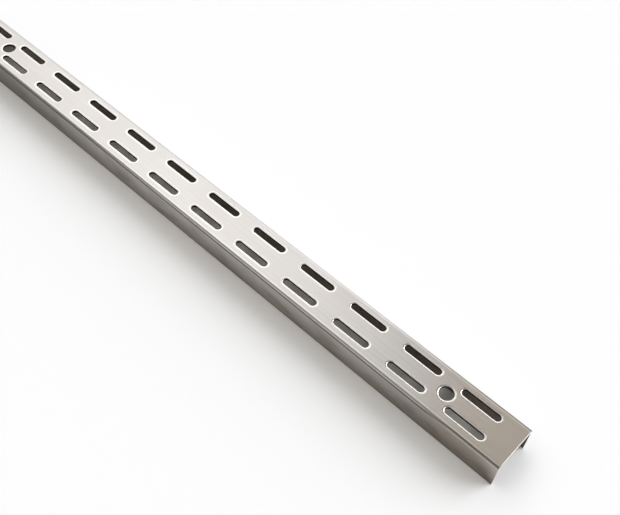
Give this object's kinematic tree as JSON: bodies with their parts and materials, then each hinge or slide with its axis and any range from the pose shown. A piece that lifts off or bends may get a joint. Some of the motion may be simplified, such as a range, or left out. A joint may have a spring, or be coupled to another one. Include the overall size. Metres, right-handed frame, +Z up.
{
  "type": "twin slot upright",
  "caption": "Plain steel channel with two rows of round-ended slots for shelf brackets and round screw holes between pairs.",
  "frame": {"origin": "under the middle of the channel's length and width, on the plane that the flange edges stand on", "axes": "+X along the length, towards the end that the picture shows; +Z up, out of the web's slotted face; +Y across the web"},
  "size_m": [0.43, 0.025, 0.0155],
  "materials": {
    "plated_steel": "satin plated steel"
  },
  "bodies": {
    "root": {"slotted_channel": "plated_steel"}
  },
  "joints": []
}
